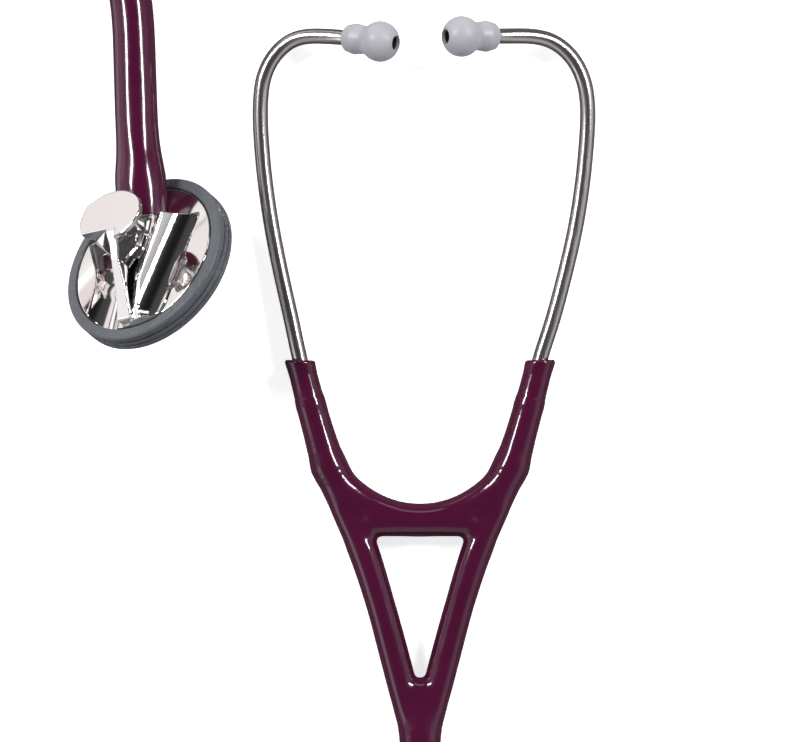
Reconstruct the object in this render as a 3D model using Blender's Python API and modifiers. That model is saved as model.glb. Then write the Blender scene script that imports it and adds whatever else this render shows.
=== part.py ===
"""A single-head cardiology stethoscope, laid out flat, as separate pieces in metres with +Z up.

The headset lies along +Y with its plane of symmetry at layout x = 0 and the yoke's end at layout
y = 0. The chestpiece leans on the edge of its rim beside it, and the hose joins the two in one
loose loop round the left side.
"""

import math

import bmesh
import bpy
from mathutils import Matrix, Vector

MM = 0.001
GAP = 0.3

# Where the layout's own origin goes, so that the object without its hose stands centred on the origin.
LAYOUT_OFFSET = Vector((24.5, -103.5, 0.0))

# Headset
EAR_TUBE_RADIUS = 2.2
EAR_TUBE_WALL = 0.5
BRANCH_TOP_RADIUS = 4.4
BRANCH_LENGTH = 30.7
BRANCH_BORE = 3.4
JOINT_BALL_RADIUS = 5.1
YOKE_HEIGHT = 5.1
HINGE = Vector((26.2, 80.5, YOKE_HEIGHT))
BRANCH_LEAN = math.radians(14.9)
CLAMP_DEPTH = 15.0
LUMEN_RADIUS = 1.5
SPRING_WIDTH = 5.0
SPRING_THICKNESS = 0.6
TIP_TILT = math.radians(29.0)
TIP_BULB_RADIUS = 5.7
TIP_LOBE_RADIUS = 4.35
TIP_SOCKET_DEPTH = 6.4

# Hose
HOSE_RADIUS = 5.9
HOSE_END_LENGTH = 20.0

# Chestpiece: its own frame has +X along the stem in the plan of the rim, +Z out of the back.
CHEST_CENTRE = Vector((-77.7, 138.5, 22.6))
CHEST_HEADING = math.radians(137.9)
CHEST_LEAN = math.radians(46.1)
CHEST_TURN = math.radians(-47.8)
BASE_RADIUS = 22.7
RIM_RADIUS = 26.1
RIM_BOTTOM = -6.2
STEM_START = Vector((12.5, 0.0, 4.1))
STEM_RISE = math.radians(23.8)
STEM_RADIUS = 3.3
BUTTON_RADIUS = 9.0
BUTTON_TOP = 19.3
BUTTON_THICKNESS = 1.7
NECK_THICKNESS = 3.8
DIAPHRAGM_RADIUS = 19.3

# Free route of the hose's centre, from the yoke's end to the chestpiece, chosen by eye.
HOSE_ROUTE = (
    (0.0, -0.4, 5.2),
    (0.0, -6.0, 5.5),
    (-2.6, -16.5, 5.9),
    (-9.8, -27.6, 5.9),
    (-20.8, -36.0, 5.9),
    (-34.5, -40.2, 5.9),
    (-50.0, -40.2, 5.9),
    (-69.0, -36.4, 5.9),
    (-89.6, -29.8, 5.9),
    (-110.4, -18.2, 5.9),
    (-128.0, -1.6, 5.9),
    (-140.8, 20.0, 5.9),
    (-149.2, 44.5, 5.9),
    (-153.5, 70.0, 5.9),
    (-156.4, 98.0, 5.9),
    (-158.0, 128.0, 5.9),
    (-159.6, 158.0, 5.9),
    (-161.2, 186.0, 5.9),
    (-161.8, 208.0, 5.9),
    (-158.4, 225.5, 5.9),
    (-149.4, 240.0, 5.9),
    (-136.0, 249.2, 5.9),
    (-120.6, 251.8, 5.9),
    (-105.4, 247.8, 6.0),
    (-92.8, 238.4, 6.4),
    (-85.0, 225.4, 7.5),
    (-81.6, 210.0, 9.8),
    (-80.6, 192.0, 13.0),
)

# Centre line of each ear tube between its branch and its ear tip, at the tube's own height.
LEFT_EAR_ROUTE = (
    (-36.4, 120.8, 4.8),
    (-39.5, 134.5, 4.0),
    (-42.2, 148.1, 3.3),
    (-44.2, 161.8, 2.8),
    (-45.35, 175.4, 2.5),
    (-45.4, 183.5, 2.4),
    (-44.6, 190.5, 2.5),
    (-41.6, 196.6, 3.0),
    (-36.8, 200.9, 4.5),
    (-31.6, 202.0, 6.5),
)
RIGHT_EAR_ROUTE = (
    (37.5, 120.8, 4.8),
    (41.2, 134.5, 4.0),
    (44.3, 148.1, 3.3),
    (46.4, 161.8, 2.8),
    (47.6, 175.4, 2.5),
    (47.7, 182.6, 2.4),
    (46.8, 189.2, 2.5),
    (43.6, 195.8, 3.0),
    (38.4, 200.4, 4.4),
    (32.6, 201.9, 6.4),
)
LEFT_TIP_BACK = Vector((-21.9, 201.3, 10.2))
LEFT_TIP_HEADING = math.radians(-8.0)
RIGHT_TIP_BACK = Vector((22.3, 201.7, 10.2))
RIGHT_TIP_HEADING = math.radians(182.5)


# ---------------------------------------------------------------- scene and materials

def clear_scene():
    for old in list(bpy.data.objects):
        bpy.data.objects.remove(old, do_unlink=True)


def new_collection(name):
    collection = bpy.data.collections.new(name)
    bpy.context.scene.collection.children.link(collection)
    return collection


clear_scene()
PARTS = new_collection("stethoscope")
CUTTERS = new_collection("stethoscope_cutters")


def material(name, color, roughness, metallic=0.0):
    made = bpy.data.materials.new(name)
    made.use_nodes = True
    shader = made.node_tree.nodes["Principled BSDF"]
    shader.inputs["Base Color"].default_value = (*color, 1.0)
    shader.inputs["Roughness"].default_value = roughness
    shader.inputs["Metallic"].default_value = metallic
    made.diffuse_color = (*color, 1.0)
    return made


PLUM = material("plum_tubing", (0.060, 0.006, 0.028), 0.18)
POLISHED = material("polished_steel", (0.80, 0.78, 0.77), 0.06, 1.0)
SATIN = material("satin_steel", (0.62, 0.59, 0.57), 0.28, 1.0)
SPRING_STEEL = material("spring_steel", (0.42, 0.43, 0.45), 0.35, 1.0)
RIM_GREY = material("rim_grey", (0.115, 0.130, 0.150), 0.35)
TIP_GREY = material("tip_grey", (0.42, 0.42, 0.46), 0.45)
INSERT_GREY = material("insert_grey", (0.20, 0.20, 0.22), 0.5)
DIAPHRAGM_GREY = material("diaphragm_grey", (0.62, 0.62, 0.60), 0.4)
SEAL_BLACK = material("seal_black", (0.02, 0.02, 0.02), 0.6)


def empty(name, location, parent=None, rotation=None):
    """An empty placed in millimetres, optionally under another one."""
    marker = bpy.data.objects.new(name, None)
    marker.empty_display_size = 5 * MM
    PARTS.objects.link(marker)
    marker.parent = parent
    turn = rotation.to_4x4() if rotation else Matrix.Identity(4)
    marker.matrix_basis = Matrix.Translation(Vector(location) * MM) @ turn
    return marker


# ---------------------------------------------------------------- shape helpers

def link(name, data, parent, finish=None, matrix=None, cutter=False):
    made = bpy.data.objects.new(name, data)
    (CUTTERS if cutter else PARTS).objects.link(made)
    made.parent = parent
    if matrix is not None:
        made.matrix_basis = matrix
    if finish is not None:
        data.materials.append(finish)
    if cutter:
        made.hide_render = True
        made.display_type = "WIRE"
    return made


def turned(name, profile, parent, finish=None, steps=32, closed=False, matrix=None, cutter=False):
    """A solid of revolution about local Z. The profile runs down its outer side, in millimetres."""
    mesh = bpy.data.meshes.new(name)
    points = [(r * MM, 0.0, z * MM) for r, z in profile]
    edges = [(i, i + 1) for i in range(len(points) - 1)]
    if closed:
        edges.append((len(points) - 1, 0))
    mesh.from_pydata(points, edges, [])
    made = link(name, mesh, parent, finish, matrix, cutter)
    screw = made.modifiers.new("Turn", "SCREW")
    screw.angle = math.tau
    screw.steps = steps
    screw.render_steps = steps
    screw.use_merge_vertices = True
    screw.merge_threshold = 0.00001
    screw.use_smooth_shade = True
    return made


def smooth_points(route, spacing):
    """Points at about the given spacing on a smooth curve through the route's points."""
    knots = [Vector(p) for p in route]
    knots = [2 * knots[0] - knots[1]] + knots + [2 * knots[-1] - knots[-2]]
    points = []
    for a, b, c, d in zip(knots, knots[1:], knots[2:], knots[3:]):
        count = max(1, round((c - b).length / spacing))
        for i in range(count):
            t = i / count
            points.append(0.5 * (2 * b + (c - a) * t + (2 * a - 5 * b + 4 * c - d) * t * t
                                 + (3 * b - a - 3 * c + d) * t ** 3))
    return points + [knots[-2]]


def tube(name, points, radius, parent, finish=None, resolution=3, caps=True, radii=None, cutter=False):
    """A round bar or pipe along the points, in millimetres."""
    curve = bpy.data.curves.new(name, "CURVE")
    curve.dimensions = "3D"
    curve.bevel_depth = radius * MM
    curve.bevel_resolution = resolution
    curve.use_fill_caps = caps
    curve.twist_mode = "MINIMUM"
    spline = curve.splines.new("POLY")
    spline.points.add(len(points) - 1)
    for i, point in enumerate(points):
        spline.points[i].co = (*(Vector(point) * MM), 1.0)
        spline.points[i].radius = radii[i] if radii else 1.0
    return link(name, curve, parent, finish, None, cutter)


def as_mesh(curve_object):
    """Replace a capped curve by a welded mesh object of the same name and place."""
    bpy.context.view_layer.update()
    depsgraph = bpy.context.evaluated_depsgraph_get()
    mesh = bpy.data.meshes.new_from_object(curve_object.evaluated_get(depsgraph))
    work = bmesh.new()
    work.from_mesh(mesh)
    bmesh.ops.remove_doubles(work, verts=work.verts, dist=0.000005)
    work.to_mesh(mesh)
    work.free()
    name = curve_object.name
    solid = bpy.data.objects.new(name + "_mesh", mesh)
    curve_object.users_collection[0].objects.link(solid)
    solid.parent = curve_object.parent
    solid.matrix_basis = curve_object.matrix_basis.copy()
    solid.hide_render = curve_object.hide_render
    solid.display_type = curve_object.display_type
    bpy.data.objects.remove(curve_object, do_unlink=True)
    solid.name = name
    return solid


def combine(target, other, operation):
    """Join another solid to the target, or cut it away, and keep it as a hidden guide."""
    step = target.modifiers.new(other.name, "BOOLEAN")
    step.operation = operation
    step.object = other
    step.solver = "EXACT"
    return target


def plate(name, outline, thickness, parent, finish=None, matrix=None, bevel=0.0, cutter=False):
    """A flat plate from an outline in its local XY plane, centred on that plane."""
    curve = bpy.data.curves.new(name, "CURVE")
    curve.dimensions = "2D"
    curve.fill_mode = "BOTH"
    curve.extrude = (thickness / 2 - bevel) * MM
    curve.bevel_depth = bevel * MM
    curve.bevel_resolution = 1
    spline = curve.splines.new("POLY")
    spline.points.add(len(outline) - 1)
    for i, (x, y) in enumerate(outline):
        spline.points[i].co = (x * MM, y * MM, 0.0, 1.0)
    spline.use_cyclic_u = True
    return link(name, curve, parent, finish, matrix, cutter)


def finish_edges(made, angle=35.0):
    """Smooth shading with crisp edges where faces meet at more than the angle."""
    if made.type == "MESH" and made.data.polygons:
        made.data.shade_smooth()
        made.data.set_sharp_from_angle(angle=math.radians(angle))
    return made


def along(direction):
    """The rotation that takes local Z to the direction."""
    return Vector(direction).to_track_quat("Z", "Y").to_matrix()


# ---------------------------------------------------------------- headset

ROOT = empty("stethoscope_layout", LAYOUT_OFFSET)


def branch_axis(side):
    return Vector((side * math.sin(BRANCH_LEAN), math.cos(BRANCH_LEAN), 0.0))


def hinge_point(side):
    return Vector((side * HINGE.x, HINGE.y, HINGE.z))


def make_yoke():
    """The V of two legs, the U bridge and its straight lower bar, joined into one moulding."""
    z = YOKE_HEIGHT
    legs = []
    lumens = []
    for side, word in ((-1, "left"), (1, "right")):
        route = [
            hinge_point(side),
            (side * 22.2, 69.0, z),
            (side * 16.4, 56.8, z),
            (side * 11.3, 40.9, z),
            (side * 7.5, 27.3, z),
            (side * 4.2, 14.0, z),
            (side * 1.3, 6.5, z),
            (side * 0.35, 2.0, z),
        ]
        points = smooth_points(route, 5.0) + [Vector((side * 0.35, 0.0, z))]
        start = points[0].y
        radii = [4.45 + 0.65 * (2.0 * p.y / start - 1.0) ** 2 for p in points]
        legs.append(as_mesh(tube(f"{word}_leg", points, 1.0, ROOT, PLUM, 2, radii=radii, cutter=side > 0)))
        inner = [hinge_point(side) + branch_axis(side) * 2] + points[1:-2]
        inner += [Vector((side * 2.4, 6.0, z)), Vector((side * 2.4, -3.0, z))]
        lumens.append(as_mesh(tube(f"{word}_lumen_cutter", inner, LUMEN_RADIUS, ROOT, None, 1, cutter=True)))

    bridge_route = [
        hinge_point(-1), (-21.4, 72.6, z), (-15.2, 67.9, z), (-7.8, 65.2, z), (0.0, 64.5, z),
        (7.8, 65.2, z), (15.2, 67.9, z), (21.4, 72.6, z), hinge_point(1),
    ]
    bridge = as_mesh(tube("bridge", smooth_points(bridge_route, 3.5), 4.6, ROOT, None, 2, cutter=True))
    bar = as_mesh(tube("bridge_bar", [(-15.5, 64.4, z), (0.0, 64.4, z), (15.5, 64.4, z)], 4.6, ROOT, None, 2,
                       cutter=True))

    yoke = legs[0]
    yoke.name = "yoke_core"
    for other in (legs[1], bridge, bar):
        combine(yoke, other, "UNION")
    for side, word in ((-1, "left"), (1, "right")):
        ball = [(math.sin(a) * (JOINT_BALL_RADIUS + GAP), math.cos(a) * (JOINT_BALL_RADIUS + GAP))
                for a in (math.pi * i / 12 for i in range(13))]
        ball[0] = (0.0, ball[0][1])
        ball[-1] = (0.0, ball[-1][1])
        socket = turned(f"{word}_socket_cutter", ball, ROOT, steps=24, cutter=True,
                        matrix=Matrix.Translation(hinge_point(side) * MM))
        combine(yoke, socket, "DIFFERENCE")
    for lumen in lumens:
        combine(yoke, lumen, "DIFFERENCE")
    combine(yoke, spring_strip("spring_slot_cutter", 2 * 0.45, 2 * 0.4, -4.0, True), "DIFFERENCE")
    return yoke


def spring_strip(name, extra_thickness, extra_width, end_trim, cutter):
    """The leaf spring's strip along the U, or the slightly larger slot that holds it."""
    half = [(0.0, 64.5), (7.6, 65.2), (14.8, 67.8), (20.2, 71.4), (24.1, 75.0)]
    start = Vector(half[-1])
    inward = (Vector(half[-2]) - start).normalized()
    half[-1] = tuple(start + inward * end_trim)
    route = [(-x, y, 0.0) for x, y in reversed(half[1:])] + [(x, y, 0.0) for x, y in half]
    points = smooth_points(route, 3.0)
    reach = (SPRING_THICKNESS + extra_thickness) / 2
    outer, inner = [], []
    for i, point in enumerate(points):
        ahead = points[min(i + 1, len(points) - 1)] - points[max(i - 1, 0)]
        side = Vector((-ahead.y, ahead.x, 0.0)).normalized() * reach
        outer.append((point + side).to_2d())
        inner.append((point - side).to_2d())
    outline = [tuple(p) for p in outer] + [tuple(p) for p in reversed(inner)]
    strip = plate(name, outline, SPRING_WIDTH + extra_width, ROOT, None if cutter else SPRING_STEEL,
                  Matrix.Translation(Vector((0.0, 0.0, YOKE_HEIGHT)) * MM), cutter=cutter)
    return as_mesh(strip)


def make_branch(word, side, spread):
    """The flexible upper branch: a socket for the ear tube above, a ball in the yoke below."""
    reach = math.acos(BRANCH_BORE / JOINT_BALL_RADIUS)
    ball = []
    for i in range(7):
        angle = -reach * i / 6
        ball.append((JOINT_BALL_RADIUS * math.cos(angle), JOINT_BALL_RADIUS * math.sin(angle)))
    top = BRANCH_LENGTH
    socket = EAR_TUBE_RADIUS + GAP
    profile = [
        (socket, top),
        (BRANCH_TOP_RADIUS - 0.4, top),
        (BRANCH_TOP_RADIUS, top - 0.4),
        (BRANCH_TOP_RADIUS + 0.15, top * 0.62),
        (JOINT_BALL_RADIUS - 0.1, top * 0.2),
    ] + ball + [
        (BRANCH_BORE, top - CLAMP_DEPTH - 1.0),
        (3.6, top - CLAMP_DEPTH),
        (3.6, top - 2.6),
        (socket, top - 2.6),
    ]
    branch = turned(f"{word}_branch", profile, spread, PLUM, 24, closed=True)
    branch.matrix_basis = along(branch_axis(side)).to_4x4()
    return branch


def make_spring_clamp(word, side, spread):
    """A steel band round the ear tube with a flat tang that reaches down towards the leaf spring."""
    top = BRANCH_LENGTH - 2.9
    bottom = BRANCH_LENGTH - CLAMP_DEPTH + 1.2
    inner, outer = EAR_TUBE_RADIUS + GAP, 3.2
    band = turned(f"{word}_spring_clamp", [(inner, top), (outer, top), (outer, bottom), (inner, bottom)],
                  spread, SPRING_STEEL, 24, closed=True)
    band.matrix_basis = along(branch_axis(side)).to_4x4()
    tang_bottom = 1.5
    bpy.ops.mesh.primitive_cube_add(size=1.0)
    tang = bpy.context.active_object
    tang.name = f"{word}_tang"
    tang.data.transform(Matrix.Diagonal((0.5 * MM, 2.4 * MM, (bottom + 1.0 - tang_bottom) * MM, 1.0)))
    for owner in list(tang.users_collection):
        owner.objects.unlink(tang)
    CUTTERS.objects.link(tang)
    tang.hide_render = True
    tang.display_type = "WIRE"
    tang.parent = spread
    inward = 2.76
    turn = along(branch_axis(side)).to_4x4()
    local_x = turn.inverted() @ Vector((-side, 0.0, 0.0))
    spin = Matrix.Rotation(math.atan2(local_x.y, local_x.x), 4, "Z")
    tang.matrix_basis = turn @ spin @ Matrix.Translation(
        Vector((inward, 0.0, (bottom + 1.0 + tang_bottom) / 2)) * MM)
    return combine(band, tang, "UNION")


def tip_axis(heading):
    return Vector((math.cos(TIP_TILT) * math.cos(heading), math.cos(TIP_TILT) * math.sin(heading),
                   math.sin(TIP_TILT)))


def make_ear_tube(word, side, route, tip_back, heading, swivel):
    """Bent steel tube, open at both ends, with a raised band near the ear tip's end."""
    hinge = hinge_point(side)
    axis = branch_axis(side)
    bottom = hinge + axis * (BRANCH_LENGTH - CLAMP_DEPTH + 1.6)
    leave = hinge + axis * (BRANCH_LENGTH + 2.0)
    out = tip_axis(heading)
    points = [bottom, (bottom + leave) / 2]
    points += smooth_points([leave, *route, tip_back - out * 1.5, tip_back + out * 2.2], 4.5)
    points.append(tip_back + out * (TIP_SOCKET_DEPTH - 0.6))
    local = [p - hinge for p in points]
    pipe = tube(f"{word}_ear_tube", local, EAR_TUBE_RADIUS, swivel, SATIN, 2, caps=False)
    wall = pipe.modifiers.new("Wall", "SOLIDIFY")
    wall.thickness = EAR_TUBE_WALL * MM
    wall.offset = -1.0
    return pipe


def make_ear_tip(word, turn):
    """Soft bulb with a collar lobe behind it, bored through for the sound."""
    bulb_centre = 12.3
    outer = []
    for i in range(9):
        angle = math.radians(74 - 15.3 * i)
        outer.append((TIP_BULB_RADIUS * math.cos(angle), bulb_centre + 5.5 * math.sin(angle)))
    profile = [(2.1, bulb_centre + 4.6)] + outer + [
        (3.55, 6.9), (TIP_LOBE_RADIUS - 0.25, 5.8), (TIP_LOBE_RADIUS, 3.4),
        (TIP_LOBE_RADIUS - 0.35, 1.0), (TIP_LOBE_RADIUS - 0.9, 0.0),
        (3.25, 0.0), (3.25, TIP_SOCKET_DEPTH), (2.1, TIP_SOCKET_DEPTH + 0.6),
    ]
    return turned(f"{word}_ear_tip", profile, turn, TIP_GREY, 20, closed=True)


def make_tip_insert(word, turn):
    """Hard liner between the ear tip and the ear tube."""
    inner, outer = EAR_TUBE_RADIUS + GAP, 2.95
    return turned(f"{word}_tip_insert", [
        (inner, TIP_SOCKET_DEPTH - 0.3), (outer, TIP_SOCKET_DEPTH - 0.3), (outer, 0.3), (inner, 0.3),
    ], turn, INSERT_GREY, 20, closed=True)


def make_tip_thread(word, swivel, tip_back, out, hinge):
    """Shouldered ring on the ear tube that the ear tip is pushed up against."""
    inner = EAR_TUBE_RADIUS + 0.1
    place = Matrix.Translation((tip_back - hinge) * MM) @ along(out).to_4x4()
    return turned(f"{word}_tip_stop", [
        (inner, -0.3), (2.75, -0.3), (2.9, -0.7), (2.9, -1.3), (2.75, -1.7), (inner, -1.7),
    ], swivel, POLISHED, 20, closed=True, matrix=place)


def make_headset_side(word, side, route, tip_back, heading):
    hinge = hinge_point(side)
    out = tip_axis(heading)
    spread = empty(f"{word}_spread", hinge, ROOT)
    swivel = empty(f"{word}_swivel", (0.0, 0.0, 0.0), spread)
    turn = empty(f"{word}_tip_turn", tip_back - hinge, swivel, along(out))
    make_branch(word, side, spread)
    make_spring_clamp(word, side, spread)
    make_ear_tube(word, side, route, tip_back, heading, swivel)
    make_tip_thread(word, swivel, tip_back, out, hinge)
    make_tip_insert(word, turn)
    make_ear_tip(word, turn)


make_yoke()
spring_strip("leaf_spring", 0.0, 0.0, 0.6, False)
make_headset_side("left", -1, LEFT_EAR_ROUTE, LEFT_TIP_BACK, LEFT_TIP_HEADING)
make_headset_side("right", 1, RIGHT_EAR_ROUTE, RIGHT_TIP_BACK, RIGHT_TIP_HEADING)


# ---------------------------------------------------------------- chestpiece

CHEST_ROTATION = (
    Matrix.Rotation(CHEST_HEADING, 3, "Z")
    @ Matrix.Rotation(CHEST_LEAN, 3, "Y")
    @ Matrix.Rotation(CHEST_TURN, 3, "Z")
)
CHEST = empty("chestpiece", CHEST_CENTRE, ROOT, CHEST_ROTATION)
STEM_AXIS = Vector((math.cos(STEM_RISE), 0.0, math.sin(STEM_RISE)))
STEM_PLACE = Matrix.Translation(STEM_START * MM) @ along(STEM_AXIS).to_4x4()


def scoop_cutter(word, side):
    """A round tapered cutter that hollows the back on one side of the ridge."""
    near = Vector((10.9, side * 9.6, 5.2))
    far = Vector((-25.0, side * 5.6, 4.2))
    near_radius, far_radius = 6.9, 3.8
    run = far - near
    profile = [(0.0, run.length), (far_radius, run.length), (near_radius, 0.0), (0.0, 0.0)]
    place = Matrix.Translation(near * MM) @ along(run).to_4x4()
    return turned(f"{word}_scoop_cutter", profile, CHEST, steps=32, matrix=place, cutter=True)


def make_chestpiece_body():
    """Domed base with a hollowed front, a thin ridge, a finger rest, a stem boss and two scoops."""
    base = turned("chestpiece_body", [
        (0.0, 2.6), (8.0, 2.3), (14.0, 1.7), (19.0, 0.9), (22.2, 0.25), (BASE_RADIUS, -0.3),
        (BASE_RADIUS, -3.8), (20.4, -3.8), (12.0, -3.0), (2.0, -2.3), (0.0, -2.3),
    ], CHEST, POLISHED, 56)
    ridge_outline = [
        (-22.1, -2.2), (9.4, -2.2), (8.2, 4.0), (6.0, 11.0), (6.6, BUTTON_TOP - 1.0),
        (-4.4, BUTTON_TOP - 1.0), (-4.4, 15.0), (-9.9, 10.9), (-22.1, 4.4),
    ]
    upright = Matrix.Rotation(math.pi / 2, 4, "X")
    ridge = as_mesh(plate("ridge", ridge_outline, NECK_THICKNESS, CHEST, None, upright, 0.5, cutter=True))
    button = turned("finger_rest", [
        (0.0, BUTTON_TOP), (BUTTON_RADIUS - 0.4, BUTTON_TOP), (BUTTON_RADIUS, BUTTON_TOP - 0.4),
        (BUTTON_RADIUS, BUTTON_TOP - BUTTON_THICKNESS + 0.5), (BUTTON_RADIUS - 0.8, BUTTON_TOP - BUTTON_THICKNESS),
        (0.0, BUTTON_TOP - BUTTON_THICKNESS - 0.6),
    ], CHEST, steps=40, cutter=True, matrix=Matrix.Translation(Vector((1.8, 0.0, 0.0)) * MM))
    boss = turned("stem_boss", [(0.0, -0.9), (5.2, -0.9), (5.6, -1.3), (5.6, -4.0), (0.0, -6.5)],
                  CHEST, steps=28, cutter=True, matrix=STEM_PLACE)
    hose_room = turned("hose_room_cutter", [(0.0, 22.0), (8.2, 22.0), (7.5, 4.0), (7.0, -0.6), (0.0, -0.6)],
                       CHEST, steps=28, cutter=True, matrix=STEM_PLACE)
    bore = STEM_RADIUS + GAP
    stem_bore = turned("stem_bore_cutter", [(0.0, 4.0), (bore, 4.0), (bore, -5.4), (0.0, -5.4)],
                       CHEST, steps=20, cutter=True, matrix=STEM_PLACE)
    port_route = [STEM_START - STEM_AXIS * 5.0, STEM_START - STEM_AXIS * 9.0, Vector((1.6, 0.0, -0.6)),
                  Vector((0.0, 0.0, -4.0))]
    port = as_mesh(tube("sound_port_cutter", port_route, 1.3, CHEST, None, 1, cutter=True))
    combine(base, hose_room, "DIFFERENCE")
    for word, side in (("left", 1), ("right", -1)):
        combine(base, scoop_cutter(word, side), "DIFFERENCE")
    for other in (ridge, boss, button):
        combine(base, other, "UNION")
    combine(base, stem_bore, "DIFFERENCE")
    combine(base, port, "DIFFERENCE")
    return base


def make_stem():
    """Hollow barbed steel tube, pressed into the boss and pushed into the hose's end."""
    r = STEM_RADIUS
    return turned("chestpiece_stem", [
        (1.7, 15.0), (2.7, 15.0), (4.2, 11.2), (4.2, 10.4), (r, 9.6), (r, 4.6), (4.1, 3.8), (r, 2.0),
        (r, -5.1), (1.7, -5.1),
    ], CHEST, POLISHED, 24, closed=True, matrix=STEM_PLACE)


def make_stem_collar():
    """Thin steel shoulder that the hose butts against."""
    inner = STEM_RADIUS + GAP
    return turned("stem_collar", [
        (inner, 0.0), (6.2, 0.0), (6.4, -0.2), (6.4, -0.35), (6.2, -0.55), (inner, -0.55),
    ], CHEST, POLISHED, 24, closed=True, matrix=STEM_PLACE)


def make_rim():
    """Grey non-chill rim round the base, with two shallow grooves in its outer wall."""
    return turned("retaining_rim", [
        (BASE_RADIUS + GAP, 0.0), (BASE_RADIUS + 0.6, 0.35), (RIM_RADIUS - 1.2, 0.1), (RIM_RADIUS - 0.5, -0.5),
        (RIM_RADIUS - 0.1, -1.5), (RIM_RADIUS - 0.35, -1.8), (RIM_RADIUS - 0.35, -2.3), (RIM_RADIUS, -2.6),
        (RIM_RADIUS, -3.6), (RIM_RADIUS - 0.3, -3.9), (RIM_RADIUS - 0.3, -4.3), (RIM_RADIUS, -4.6),
        (RIM_RADIUS - 0.1, -5.6), (RIM_RADIUS - 0.8, RIM_BOTTOM), (22.8, RIM_BOTTOM), (22.8, -4.2),
        (BASE_RADIUS + GAP, -3.9),
    ], CHEST, RIM_GREY, 56, closed=True)


def make_body_seal():
    """Round-section seal that closes the body on the surround."""
    centre, radius = 21.6, 0.3
    profile = [(centre + radius * math.cos(a), -4.45 + radius * math.sin(a))
               for a in (-math.tau * i / 6 for i in range(6))]
    return turned("body_seal", profile, CHEST, SEAL_BLACK, 40, closed=True)


def make_surround():
    """Flexible rolled edge between the rim and the diaphragm."""
    return turned("diaphragm_surround", [
        (19.7, -5.6), (20.2, -5.25), (20.8, -5.1), (22.4, -5.1), (22.4, -5.9), (21.0, -5.9), (20.4, -6.0),
        (19.7, -6.1),
    ], CHEST, SEAL_BLACK, 44, closed=True)


def make_diaphragm():
    """Thin stiff disc that faces the patient and can be pressed in a little."""
    press = empty("diaphragm_press", (0.0, 0.0, 0.0), CHEST)
    r = DIAPHRAGM_RADIUS
    return turned("diaphragm", [(0.0, -6.0), (r - 0.1, -6.0), (r, -6.1), (r, -6.5), (r - 0.2, -6.6), (0.0, -6.6)],
                  press, DIAPHRAGM_GREY, 48)


make_chestpiece_body()
make_stem()
make_stem_collar()
make_rim()
make_body_seal()
make_surround()
make_diaphragm()


# ---------------------------------------------------------------- hose

def stem_world(distance):
    """A layout point on the stem's axis, measured out from the face where the hose ends."""
    return CHEST_CENTRE + CHEST_ROTATION @ (STEM_START + STEM_AXIS * distance)


def make_tube_end():
    """The hose's last stretch, stretched over the barbs."""
    bore = 4.6
    return turned("tube_end", [
        (bore, HOSE_END_LENGTH), (6.0, HOSE_END_LENGTH), (6.2, 17.0), (7.3, 12.0), (7.35, 9.0), (6.9, 4.0),
        (6.7, 0.6), (6.3, 0.3), (bore, 0.3),
    ], CHEST, PLUM, 24, closed=True, matrix=STEM_PLACE)


def make_main_tube():
    """The free hose from the yoke to the stretched end."""
    route = list(HOSE_ROUTE) + [tuple(stem_world(HOSE_END_LENGTH + 6.0)), tuple(stem_world(HOSE_END_LENGTH + GAP))]
    points = smooth_points(route, 9.5)
    radii = [min(1.0, 0.87 + 0.13 * i / 4) for i in range(len(points))]
    return tube("main_tube", points, HOSE_RADIUS, ROOT, PLUM, 3, radii=radii)


make_tube_end()
make_main_tube()

for made in PARTS.objects:
    finish_edges(made)
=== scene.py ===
"""The looks of a single-head cardiology stethoscope that lies flat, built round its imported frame.

Lengths in this script are millimetres in the layout that the frame was designed in: the headset's
plane of symmetry is x = 0 and the yoke's end is y = 0. place() turns them into the frame's metres.
"""

import math

import bmesh
import bpy
import numpy as np
from mathutils import Matrix, Vector


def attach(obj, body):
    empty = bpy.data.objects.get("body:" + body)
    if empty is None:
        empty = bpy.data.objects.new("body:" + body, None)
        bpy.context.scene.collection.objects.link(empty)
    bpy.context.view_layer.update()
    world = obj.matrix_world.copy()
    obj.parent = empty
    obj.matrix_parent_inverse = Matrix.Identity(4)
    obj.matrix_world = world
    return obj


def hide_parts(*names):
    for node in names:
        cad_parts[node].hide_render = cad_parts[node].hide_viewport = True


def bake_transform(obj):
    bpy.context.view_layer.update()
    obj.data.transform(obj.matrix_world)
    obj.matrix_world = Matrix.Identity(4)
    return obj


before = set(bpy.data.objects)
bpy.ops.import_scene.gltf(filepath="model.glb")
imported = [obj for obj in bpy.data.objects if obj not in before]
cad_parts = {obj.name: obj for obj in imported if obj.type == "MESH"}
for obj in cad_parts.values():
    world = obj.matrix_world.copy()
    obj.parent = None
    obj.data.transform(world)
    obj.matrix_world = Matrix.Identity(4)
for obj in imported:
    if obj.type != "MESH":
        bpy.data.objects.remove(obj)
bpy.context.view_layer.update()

MM = 0.001
LAYOUT_OFFSET = Vector((24.5, -103.5, 0.0))

# Headset
YOKE_HEIGHT = 5.1
HINGE = Vector((26.2, 80.5, YOKE_HEIGHT))
BRANCH_LEAN = math.radians(14.9)
BRANCH_LENGTH = 30.7
BRANCH_TOP = 110.6
EAR_TUBE_RADIUS = 2.2
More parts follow.
